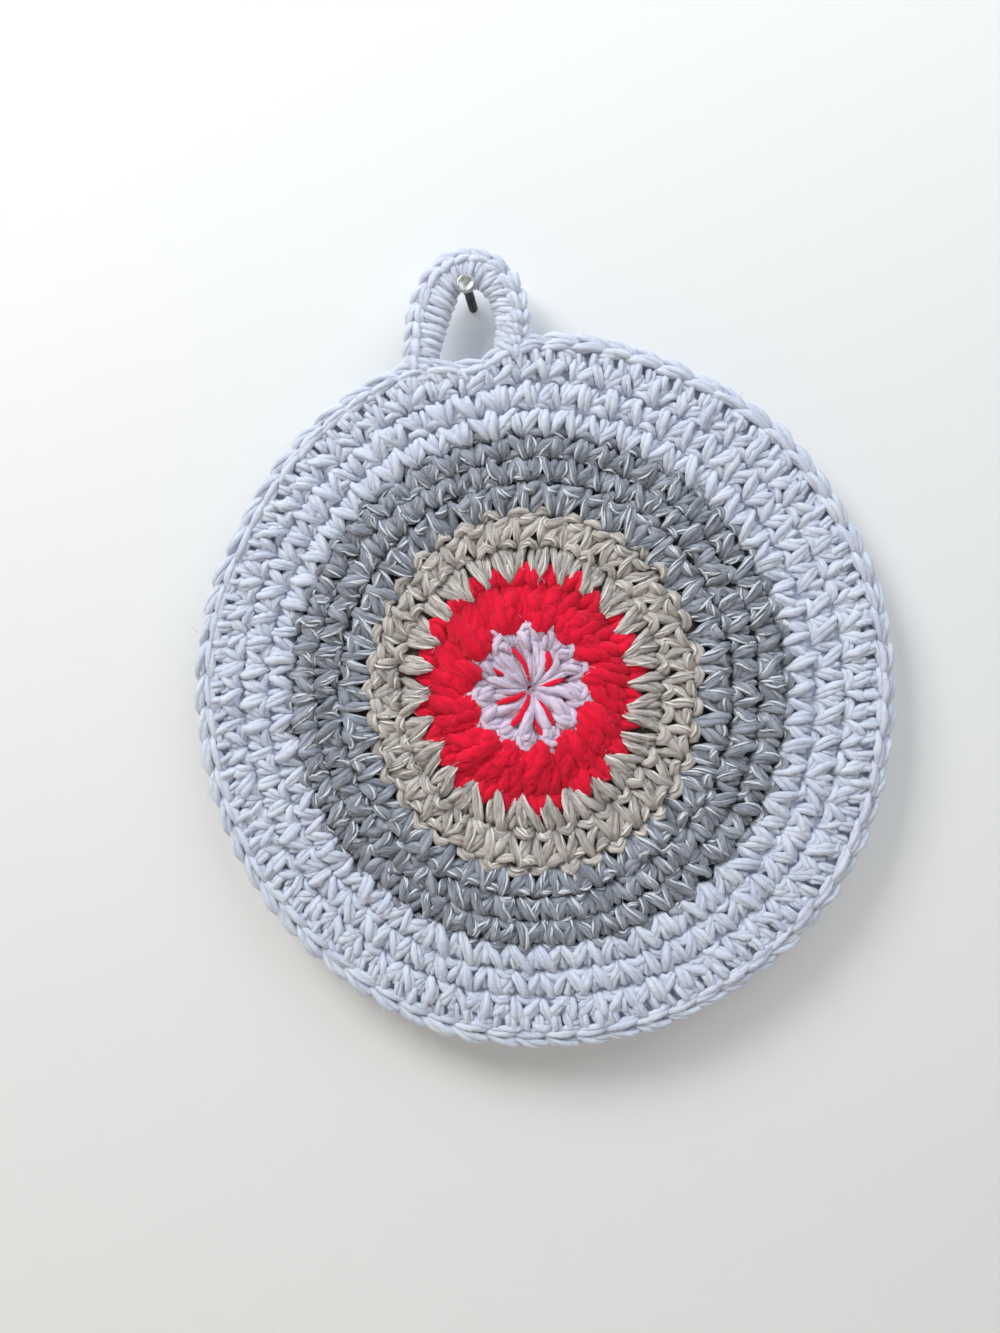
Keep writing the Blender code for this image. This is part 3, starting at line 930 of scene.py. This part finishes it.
def petal_point(angle, radius, height):
    """A point of the petals, or just outside them, from its angle and its radius in millimetres."""
    inside = min(radius / PETAL_SPAN, 0.999)
    outside = 1.0 + (radius - PETAL_SPAN) / depth_of(1)
    return place(angle, inside if radius < PETAL_SPAN else outside, height)


def petal_strand(hand, angles, radii, heights, swells, thickness):
    """One strand of the petals."""
    lift = hand.off(PETAL_LIFT)
    turned = hand.off(PETAL_TURN)
    places = zip(angles, radii, heights)
    points = [petal_point(angle + turned, radius, height + lift) for angle, radius, height in places]
    sunk = [depth_shade(height) for height in heights]
    return Strand(points, [thickness * swell for swell in swells], hand.shade(), sunk)


class POTHOLDER_OT_petals(bpy.types.Operator):
    """Crochet the lilac petals of the first ring, with the carried red yarn in their gaps"""

    bl_idname = "potholder.petals"
    bl_label = "Petals"

    def execute(self, context):
        yarn = context.scene.pot_holder_sizes.yarn
        hand = Hand(0)
        strands, carried = [], []
        round_again = GAPS[0]._replace(**{part: getattr(GAPS[0], part) + 360.0 for part in Gap._fields[:3]})
        for gap, after in zip(GAPS, GAPS[1:] + [round_again]):
            for step in range(gap.strands):
                share = PETAL_INSET + (1.0 - 2.0 * PETAL_INSET) * ((step + 0.5) / gap.strands)
                ends = [(gap_angle(gap, radius), gap_angle(after, radius)) for radius in PETAL_RADII]
                angles = [start + (end - start) * share for start, end in ends]
                crown = hand.off(CROWN_STRAY)
                stout = 1.0 + hand.off(STOUT_STRAY)
                heights = [height + crown * part for height, part in zip(PETAL_HEIGHTS, PETAL_CROWN)]
                strands.append(petal_strand(hand, angles, PETAL_RADII, heights, PETAL_SWELLS, yarn * stout))
            radii = [gap.start + (gap.end - gap.start) * share for share in LINE_SHARES]
            angles = [gap_angle(gap, radius) for radius in radii]
            carried.append(petal_strand(hand, angles, radii, LINE_HEIGHTS, LINE_SWELLS, gap.width * MM))
        for hole, after in zip(PETAL_HOLES, PETAL_HOLES[1:] + (PETAL_HOLES[0] + 360.0,)):
            middle = (hole + after) / 2.0
            half = (after - hole) / 2.0
            lean = 1.0 if hand.chance(0.5) else -1.0
            for shares, radii, heights, swells in PETAL_TOP:
                slid = hand.off(TOP_SHIFT)
                angles = [middle + half * (lean * share + slid) for share in shares]
                radii = [radius + hand.off(TOP_RADIUS_STRAY) for radius in radii]
                strands.append(petal_strand(hand, angles, radii, heights, swells, yarn))
        spin("lilac_petals", strands, "lilac", steps=10)
        spin("carried_red_yarn", carried, "red", sides=8, steps=10, spun=THREAD)
        return {"FINISHED"}


# The wrong side of a stitch: two legs and the bar across them. The last round is bound to the edge.
BACK_STITCH = (
    stops((-0.3, 0.02, 0.4, 0.75), (-0.24, 0.3, 1.5, 1), (-0.12, 0.66, 1.7, 1), (-0.06, 0.96, 0.5, 0.75)),
    stops((0.34, 0.02, 0.4, 0.75), (0.28, 0.3, 1.5, 1), (0.16, 0.66, 1.7, 1), (0.1, 0.96, 0.5, 0.75)),
    stops((-0.52, 0.8, 0.6, 0.75), (-0.22, 0.9, 2, 0.95), (0.16, 0.92, 2.1, 0.95), (0.46, 0.82, 0.6, 0.75)),
)
BACK_EDGE = stops(
    (-0.30, -0.30, 0.8, 0.80), (-0.10, 0.00, 1.9, 1.00), (0.10, 0.30, 1.8, 1.00), (0.30, 0.58, 0.6, 0.80)
)
BACK_PETALS = 13
BACK_SOFT = 0.9  # of the red yarn's radius, for the red and lilac rounds
LAST_ROUND = 9
EDGE_ROUND = 10


class POTHOLDER_OT_back(bpy.types.Operator):
    """Crochet the wrong side of every round"""

    bl_idname = "potholder.back"
    bl_label = "Back Stitches"

    def execute(self, context):
        sizes = context.scene.pot_holder_sizes
        rounds = [(ring.index, ring.count, ring.phase, ring.yarn) for ring in STITCH_ROUNDS]
        rounds += [(0, BACK_PETALS, 0.0, "lilac"), (1, PUFF_COUNT, PUFF_PHASE, "red")]
        for yarn in ("lilac", "red", "beige", "grey", "white"):
            radius = sizes.puff * BACK_SOFT if yarn in ("red", "lilac") else sizes.yarn
            strands = []
            for index, count, phase, _ in (ring for ring in rounds if ring[3] == yarn):
                hand = Hand(20 + index)
                pitch = 360.0 / count
                for top in spots(count, phase):
                    for track in BACK_STITCH:
                        strands.append(lay(hand, index, top, top, pitch, track, radius, side=-1.0))
                if index == LAST_ROUND:
                    for top in spots(2 * count, phase):
                        bound = lay(hand, EDGE_ROUND, top, top, pitch / 2.0, BACK_EDGE, radius, side=-1.0)
                        strands.append(bound)
            spin(yarn + "_back", strands, yarn, sides=5, steps=5, spun=BACK)
        return {"FINISHED"}


# One link of a chain: along in links, across and height in millimetres, swell of the yarn.
ChainStop = namedtuple("ChainStop", "along across height swell")
CHAIN_ARM = [
    ChainStop(*row)
    for row in (
        (-0.22, 0.10, -0.6, 0.50), (0.02, 0.45, 0.9, 0.76), (0.38, 1.00, 1.7, 1.00), (0.78, 1.60, 1.6, 1.04),
        (1.08, 1.72, 0.8, 0.88), (1.32, 1.15, -0.6, 0.55),
    )
]
CHAIN_STANDS = 0.6  # how much less painted depth shade a chain's yarn takes than a stitch's, in millimetres
UNDER_EDGE = stops(
    (0.15, -0.62, 0.9, 0.80), (0.02, -0.30, 2.4, 1.10), (-0.12, 0.02, 2.4, 1.15), (-0.24, 0.36, 0.8, 0.85)
)
EDGE_LINKS = 70
EDGE_REACH = 10.52
EDGE_HEIGHT = 0.5
EDGE_PRESS = 0.30  # of a round, where the hanging loop draws the edge in
EDGE_PRESS_SPREAD = 8.0
EDGE_ROLL = 21.0  # how far the edge chain is rolled over to the outside, in degrees
EDGE_ROLL_MORE = 15.0  # and how much more at the upper right, and less at the lower left
EDGE_ROLL_MOST_AT = 50.0
# How far the edge chain strays: along in links, its arms' spread, height in millimetres, and thickness.
LINK_STRAY = 0.08
ARM_SPREAD = 0.12
ARM_LIFT = 0.2
ARM_GIRTH = 0.08


def rolled(outward, degrees):
    """The flat and the standing direction of a chain that is rolled over to the outside."""
    roll = math.radians(degrees)
    across, up = math.cos(roll), math.sin(roll)
    return outward * across - FRONT * up, FRONT * across + outward * up


def chain_arm(hand, points, girth):
    """One arm of a chain link."""
    sunk = [depth_shade(stop.height + CHAIN_STANDS) for stop in CHAIN_ARM]
    return Strand(points, [girth * stop.swell for stop in CHAIN_ARM], hand.shade(), sunk)


def edge_point(angle, across, height):
    """A point of the edge chain, which is turned about its own middle line by its roll."""
    off = turn_between(LOOP_ANGLE, angle)
    reach = EDGE_REACH - EDGE_PRESS * math.exp(-((off / EDGE_PRESS_SPREAD) ** 2))
    middle = place(angle, reach, EDGE_HEIGHT)
    outward = (place(angle, reach + 0.3, EDGE_HEIGHT) - middle).normalized()
    roll = EDGE_ROLL + EDGE_ROLL_MORE * math.cos(math.radians(angle - EDGE_ROLL_MOST_AT))
    flat, proud = rolled(outward, roll)
    return middle + flat * across + proud * height


class POTHOLDER_OT_edge_chain(bpy.types.Operator):
    """Lay the chain of loops that runs round the edge"""

    bl_idname = "potholder.edge_chain"
    bl_label = "Edge Chain"

    def execute(self, context):
        yarn = context.scene.pot_holder_sizes.yarn
        hand = Hand(10)
        pitch = 360.0 / EDGE_LINKS
        strands = []
        for start in spots(EDGE_LINKS, 0.0):
            start += hand.off(LINK_STRAY) * pitch
            for side in (-1.0, 1.0):
                spread = side * (1.0 + hand.off(ARM_SPREAD))
                lift = hand.off(ARM_LIFT)
                girth = yarn * (1.0 + hand.off(ARM_GIRTH))
                points = [
                    edge_point(start - stop.along * pitch, stop.across * spread, stop.height + lift)
                    for stop in CHAIN_ARM
                ]
                strands.append(chain_arm(hand, points, girth))
        spin("edge_chain", strands, "white", steps=9)
        # Beneath it, the slip stitches that join it to the last white round.
        fillers = []
        for angle in spots(2 * EDGE_LINKS, 1.0):
            fillers.append(lay(hand, EDGE_ROUND, angle, angle, pitch / 2.0, UNDER_EDGE, yarn))
        spin("edge_filling", fillers, "white", sides=5, steps=4, spun=FILLING)
        return {"FINISHED"}


# A strand that wraps the loop's strip: across as a share of its width, height in millimetres, its share
# of the wrap's lean, and its swell.
WrapStop = namedtuple("WrapStop", "across height lean swell")
WRAP = [
    WrapStop(*row)
    for row in (
        (0.36, -1.5, 0.0, 0.80), (0.02, -2.1, 0.0, 1.00), (-0.32, -1.6, 0.0, 1.00), (-0.47, 0.1, 0.0, 1.00),
        (-0.34, 1.7, 0.2, 1.00), (-0.06, 2.1, 0.6, 1.05), (0.14, 1.6, 0.9, 0.95), (0.24, 0.3, 1.0, 0.75),
    )
]
LOOP_WRAPS = 25
LOOP_TUCK = 2  # more of them at each foot, which run on into the cloth
WRAP_LEAN = 2.6  # at the right foot, in millimetres; the left foot has none
WRAP_GIRTH = 0.98  # of the yarn's radius
LOOP_LINKS = 13
LOOP_CHAIN_AT = 0.17  # of the strip's width, outwards from its middle
LOOP_CHAIN_HEIGHT = 0.3
LOOP_CHAIN_ROLL = 28.0
CORE_RADIUS = 1.9
CORE_STOPS = 15
# How far the wraps stray along in shares of the strip, their height in millimetres, and thickness.
WRAP_STRAY = 0.004
WRAP_LIFT = 0.15
WRAP_GIRTH_STRAY = 0.07


def loop_station(share):
    """The loop's strip at a share of its way between its feet. It runs straight on past both."""
    last = len(LOOP) - 1
    kept = min(max(share, 0.0), 1.0)
    here = along_path(LOOP, kept * last)
    if kept != share:
        end, before = (LOOP[0], LOOP[1]) if share < 0.0 else (LOOP[-1], LOOP[-2])
        here.xy = (end + (end - before) * (abs(share - kept) * last)).xy
    return here


def loop_frame(share):
    """The strip's middle, its direction, its outward side and its width at a share of its way."""
    here, before, after = (loop_station(share + step) for step in (0.0, -0.01, 0.01))
    along = Vector((after.x - before.x, 0.0, after.y - before.y)).normalized()
    return Vector((here.x, LOOP_PLANE_Y, here.y)), along, Vector((-along.z, 0.0, along.x)), here.z


class POTHOLDER_OT_hanging_loop(bpy.types.Operator):
    """Crochet the hanging loop: stitches over a ring of yarn, with a chain round their outside"""

    bl_idname = "potholder.hanging_loop"
    bl_label = "Hanging Loop"

    def execute(self, context):
        yarn = context.scene.pot_holder_sizes.yarn
        hand = Hand(30)
        wraps, links = [], []
        for k in range(-LOOP_TUCK, LOOP_WRAPS + LOOP_TUCK):
            share = (k + 0.5) / LOOP_WRAPS + hand.off(WRAP_STRAY)
            middle, along, outward, width = loop_frame(share)
            lean = along * (WRAP_LEAN * min(max(share, 0.0), 1.0) ** 2)
            lift = hand.off(WRAP_LIFT)
            girth = yarn * (WRAP_GIRTH + hand.off(WRAP_GIRTH_STRAY))
            points = [
                middle + outward * (stop.across * width) + FRONT * (stop.height + lift) + lean * stop.lean
                for stop in WRAP
            ]
            wraps.append(Strand(points, [girth * stop.swell for stop in WRAP], hand.shade(), None))
        spin("loop_wraps", wraps, "white", steps=12)
        for k in range(-LOOP_TUCK, LOOP_LINKS + LOOP_TUCK):
            for side in (-1.0, 1.0):
                points = []
                for stop in CHAIN_ARM:
                    middle, along, outward, width = loop_frame((k + 1.0 - stop.along) / LOOP_LINKS)
                    flat, proud = rolled(outward, LOOP_CHAIN_ROLL)
                    middle += outward * (LOOP_CHAIN_AT * width) + FRONT * LOOP_CHAIN_HEIGHT
                    points.append(middle + flat * (side * stop.across) + proud * stop.height)
                links.append(chain_arm(hand, points, yarn * (1.0 + hand.off(WRAP_GIRTH_STRAY))))
        spin("loop_chain", links, "white", steps=9)
        core = [loop_frame(k / (CORE_STOPS - 1.0))[0] for k in range(CORE_STOPS)]
        # The core is painted in shade, at 0.8 of the painted depth shade's full darkness.
        inside = Strand(core, [CORE_RADIUS * MM] * CORE_STOPS, 0.1, [0.8] * CORE_STOPS)
        spin("loop_core", [inside], "white", sides=12, steps=48, spun=THREAD)
        return {"FINISHED"}


INNER_HALF = 0.9  # half the thickness of the cloth's inner turns
INNER_RIM = 0.3  # of which this share is left at their rim
INNER_SIDES = 108
INNER_STEPS = 4  # to a round
INNER_REACH = 10.7
# The inner turns take darker copies of each round's yarn colour: painted shade for the gaps between the
# stitches.
BEIGE_SHADED, GREY_SHADED, WHITE_SHADED = "#5E5548", "#34393F", "#C8D0E0"
INNER_SHADE_TONES = ("#A02A48", "#7E0A1B") + (BEIGE_SHADED,) * 2 + (GREY_SHADED,) * 3 + (WHITE_SHADED,) * 4


def band(low, high, count):
    """The faces between two closed rings of points, from the first point of each."""
    ahead = [(k + 1) % count for k in range(count)]
    return [(low + after, high + after, high + k, low + k) for k, after in enumerate(ahead)]


def fan(tip, ring, count):
    """The faces between a point and a closed ring of points."""
    return [(tip, ring + (k + 1) % count, ring + k) for k in range(count)]


class POTHOLDER_OT_inner_cloth(bpy.types.Operator):
    """Lay the inner turns of the cloth, a thin closed sheet that every stitch stands on"""

    bl_idname = "potholder.inner_cloth"
    bl_label = "Inner Cloth"

    def execute(self, context):
        reaches = [k / INNER_STEPS for k in range(1, int(INNER_REACH * INNER_STEPS) + 1)]
        points, tones = [], []
        for side in (1.0, -1.0):
            points.append(place(0.0, 0.0, INNER_HALF * side))
            tones.append(INNER_SHADE_TONES[0])
            for reach in reaches:
                thick = INNER_HALF * side * (1.0 if reach < reaches[-1] else INNER_RIM)
                points += [place(angle, reach, thick) for angle in spots(INNER_SIDES, 0.0)]
                tones += [INNER_SHADE_TONES[min(int(reach - 0.01), len(ROUNDS) - 1)]] * INNER_SIDES
        faces = fan(0, 1, INNER_SIDES)
        for step in range(len(reaches) - 1):
            low = 1 + step * INNER_SIDES
            faces += band(low, low + INNER_SIDES, INNER_SIDES)
        half = 1 + len(reaches) * INNER_SIDES
        rim = half - INNER_SIDES
        faces += [tuple(half + corner for corner in face[::-1]) for face in faces]
        faces += band(rim, half + rim, INNER_SIDES)
        mesh = mesh_of("inner_cloth", points, faces, inner_material("inner turns of cotton"))
        tint = mesh.attributes.new("round_colour", "FLOAT_COLOR", "POINT")
        for k, tone in enumerate(tones):
            tint.data[k].color = linear(tone) + (1.0,)
        link_up("inner_cloth", mesh)
        return {"FINISHED"}


NAIL_SIDES = 48
GRIP_MARKS = 4
GRIP_FROM_HEAD = 6.0
GRIP_PITCH = 1.2
GRIP_WIDTH = 0.4
GRIP_DEPTH = 0.12
NECK = 0.35  # how far the shank widens under the head
RIM_ROUND = 0.25
RIM_STEPS = 6
# The head's dimple, from its rim to its floor: how far in from the head's edge, and how deep.
DIMPLE = ((0.55, 0.0), (0.80, 0.04), (1.15, 0.75 * HEAD_DIMPLE), (1.60, HEAD_DIMPLE))


class POTHOLDER_OT_nail(bpy.types.Operator):
    """Turn the round-headed wire nail that the loop hangs from"""

    bl_idname = "potholder.nail"
    bl_label = "Nail"

    def execute(self, context):
        under = NAIL_LENGTH - HEAD_THICK
        profile = [(0.0, SHANK_RADIUS)]
        for mark in range(GRIP_MARKS):
            out = under - GRIP_FROM_HEAD + GRIP_PITCH * mark
            profile.append((out, SHANK_RADIUS))
            profile.append((out + GRIP_WIDTH / 2.0, SHANK_RADIUS - GRIP_DEPTH))
            profile.append((out + GRIP_WIDTH, SHANK_RADIUS))
        profile += [(under - 0.5, SHANK_RADIUS), (under - 0.1, SHANK_RADIUS + NECK)]
        profile.append((under, HEAD_RADIUS - NECK))
        for step in range(RIM_STEPS + 1):
            turn = math.pi * step / RIM_STEPS
            out = under + HEAD_THICK / 2.0 - HEAD_THICK / 2.0 * math.cos(turn)
            profile.append((out, HEAD_RADIUS - RIM_ROUND + RIM_ROUND * math.sin(turn)))
        profile += [(NAIL_LENGTH - depth, HEAD_RADIUS - inset) for inset, depth in DIMPLE]
        lean = Vector((NAIL_LEAN_X, -1.0, NAIL_LEAN_Z))
        points = []
        for out, radius in profile:
            for side in range(NAIL_SIDES):
                turn = math.tau * side / NAIL_SIDES
                points.append(lean * out + Vector((math.cos(turn), 0.0, math.sin(turn))) * radius)
        tip = len(points)
        points += [lean * (NAIL_LENGTH - HEAD_DIMPLE), Vector((0.0, 0.0, 0.0))]
        faces = [face[::-1] for face in fan(tip, tip - NAIL_SIDES, NAIL_SIDES)] + fan(tip + 1, 0, NAIL_SIDES)
        for low in range(0, tip - NAIL_SIDES, NAIL_SIDES):
            faces += band(low, low + NAIL_SIDES, NAIL_SIDES)
        steel = steel_material("drawn steel wire", context.scene.pot_holder_colours.steel)
        mesh = mesh_of("wire_nail", points, faces, steel)
        mesh.set_sharp_from_angle(angle=math.radians(50.0))
        link_up("wire_nail", mesh)
        return {"FINISHED"}


# ---------------------------------------------------------------- what carries what


class POTHOLDER_OT_hang(bpy.types.Operator):
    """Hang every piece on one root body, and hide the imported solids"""

    bl_idname = "potholder.hang"
    bl_label = "Hang on the Nail"

    def execute(self, context):
        known = set(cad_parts)
        pieces = [o for o in context.scene.objects if o.type == "MESH" and o.name not in known]
        pieces = [o for o in pieces if not o.name.startswith("stage_")]
        for piece in pieces:
            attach(piece, "root")
        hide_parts("nail")
        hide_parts("hanging_loop")
        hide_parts("crocheted_disc")
        return {"FINISHED"}


# ---------------------------------------------------------------- the stage

FRAME_WIDTH = 1000.0  # of the photograph, in its pixels
FOCAL_PIXELS = 1092.5
SENSOR = 36.0
CAMERA_X = 7.6
CAMERA_Z = -101.5
CAMERA_AWAY = 300.0  # from the cloth's plane
BACKDROP_Y = 0.5
FLOOR_Z = -480.0
STAGE_REACH = 1500.0
# Square soft lights that look at the cloth's middle: place in millimetres, size in metres, watts, tint.
LIGHTS = (
    ("window", (-490.0, -520.0, 500.0), 0.38, 7.0, "#F9FAFA"),
    ("ceiling", (300.0, -450.0, 420.0), 0.6, 2.55, "#E8F4FF"),
    ("behind", (200.0, 1200.0, 300.0), 1.2, 9.0, "#F6F8FF"),
)
ROOM_TINT = "#F4F4F8"
ROOM_LIGHT = 0.31


def stage_plane(name, middle, across, up, material):
    """A flat backdrop that reaches as far across and up from its middle, painted on its front."""
    corners = [middle + across * x + up * y for x, y in ((-1, -1), (1, -1), (1, 1), (-1, 1))]
    plane = link_up(name, mesh_of(name, corners, [(0, 1, 2, 3)], material))
    plane.visible_shadow = False


def area_light(name, place_mm, target, size, watts, tint):
    """A square soft light that looks at a target."""
    light = bpy.data.lights.new(name, "AREA")
    light.shape = "SQUARE"
    light.size = size
    light.energy = watts
    light.color = linear(tint)
    lamp = bpy.data.objects.new(name, light)
    lamp.location = Vector(place_mm) * MM
    lamp.rotation_euler = (target - Vector(place_mm)).to_track_quat("-Z", "Y").to_euler()
    bpy.context.collection.objects.link(lamp)


class POTHOLDER_OT_stage(bpy.types.Operator):
    """Set up the pale backdrop and floor, the soft light and the camera"""

    bl_idname = "potholder.stage"
    bl_label = "Stage"

    def execute(self, context):
        scene = context.scene
        paint = backdrop_material("matte backdrop paint", scene.pot_holder_colours.backdrop)
        boards = backdrop_material("matte floor paint", scene.pot_holder_colours.floor)
        across = Vector((STAGE_REACH, 0.0, 0.0))
        half = (STAGE_REACH - FLOOR_Z) / 2.0
        stand = Vector((0.0, BACKDROP_Y, FLOOR_Z + half))
        stage_plane("stage_wall", stand, across, Vector((0.0, 0.0, half)), paint)
        deep = Vector((0.0, STAGE_REACH, 0.0))
        stage_plane("stage_floor", Vector((0.0, 0.0, FLOOR_Z)), across, deep, boards)
        middle = Vector((CLOTH_MIDDLE_X, CLOTH_PLANE_Y, CLOTH_MIDDLE_Z))
        for name, place_mm, size, watts, tint in LIGHTS:
            area_light(name, place_mm, middle, size, watts, tint)
        world = bpy.data.worlds.new("soft room light")
        world.use_nodes = True
        feed(world.node_tree.nodes["Background"], [linear(ROOM_TINT) + (1.0,), ROOM_LIGHT])
        scene.world = world
        scene.view_settings.view_transform = "Standard"
        view = bpy.data.cameras.new("photo view")
        view.sensor_fit = "HORIZONTAL"
        view.sensor_width = SENSOR
        view.lens = SENSOR * FOCAL_PIXELS / FRAME_WIDTH
        view.clip_start = 0.01
        camera = bpy.data.objects.new("photo view", view)
        camera.location = Vector((CAMERA_X, CLOTH_PLANE_Y - CAMERA_AWAY, CAMERA_Z)) * MM
        camera.rotation_euler = (math.radians(90.0), 0.0, 0.0)
        context.collection.objects.link(camera)
        scene.camera = camera
        return {"FINISHED"}


# ---------------------------------------------------------------- the add-on

OPERATORS = (
    POTHOLDER_OT_inner_cloth,
    POTHOLDER_OT_petals,
    POTHOLDER_OT_red_round,
    POTHOLDER_OT_stitch_rounds,
    POTHOLDER_OT_edge_chain,
    POTHOLDER_OT_back,
    POTHOLDER_OT_hanging_loop,
    POTHOLDER_OT_nail,
    POTHOLDER_OT_hang,
    POTHOLDER_OT_stage,
)


class POTHOLDER_PT_panel(bpy.types.Panel):
    """The pot holder's sizes, colours and pieces"""

    bl_idname = "POTHOLDER_PT_panel"
    bl_label = "Pot Holder"
    bl_space_type = "VIEW_3D"
    bl_region_type = "UI"
    bl_category = "Pot Holder"

    def draw(self, context):
        layout = self.layout
        for group in (context.scene.pot_holder_sizes, context.scene.pot_holder_colours):
            for name in group.__annotations__:
                layout.prop(group, name)
        for operator in OPERATORS:
            layout.operator(operator.bl_idname)


CLASSES = (PotHolderSizes, PotHolderColours) + OPERATORS + (POTHOLDER_PT_panel,)


def register():
    """Register the classes and put the settings on the scene."""
    for cls in CLASSES:
        bpy.utils.register_class(cls)
    bpy.types.Scene.pot_holder_sizes = PointerProperty(type=PotHolderSizes)
    bpy.types.Scene.pot_holder_colours = PointerProperty(type=PotHolderColours)


def unregister():
    """Take the settings and the classes away again."""
    del bpy.types.Scene.pot_holder_colours
    del bpy.types.Scene.pot_holder_sizes
    for cls in reversed(CLASSES):
        bpy.utils.unregister_class(cls)


def main():
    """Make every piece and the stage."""
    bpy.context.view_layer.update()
    register()
    for operator in OPERATORS:
        group, name = operator.bl_idname.split(".")
        getattr(getattr(bpy.ops, group), name)()


if __name__ == "__main__":
    main()
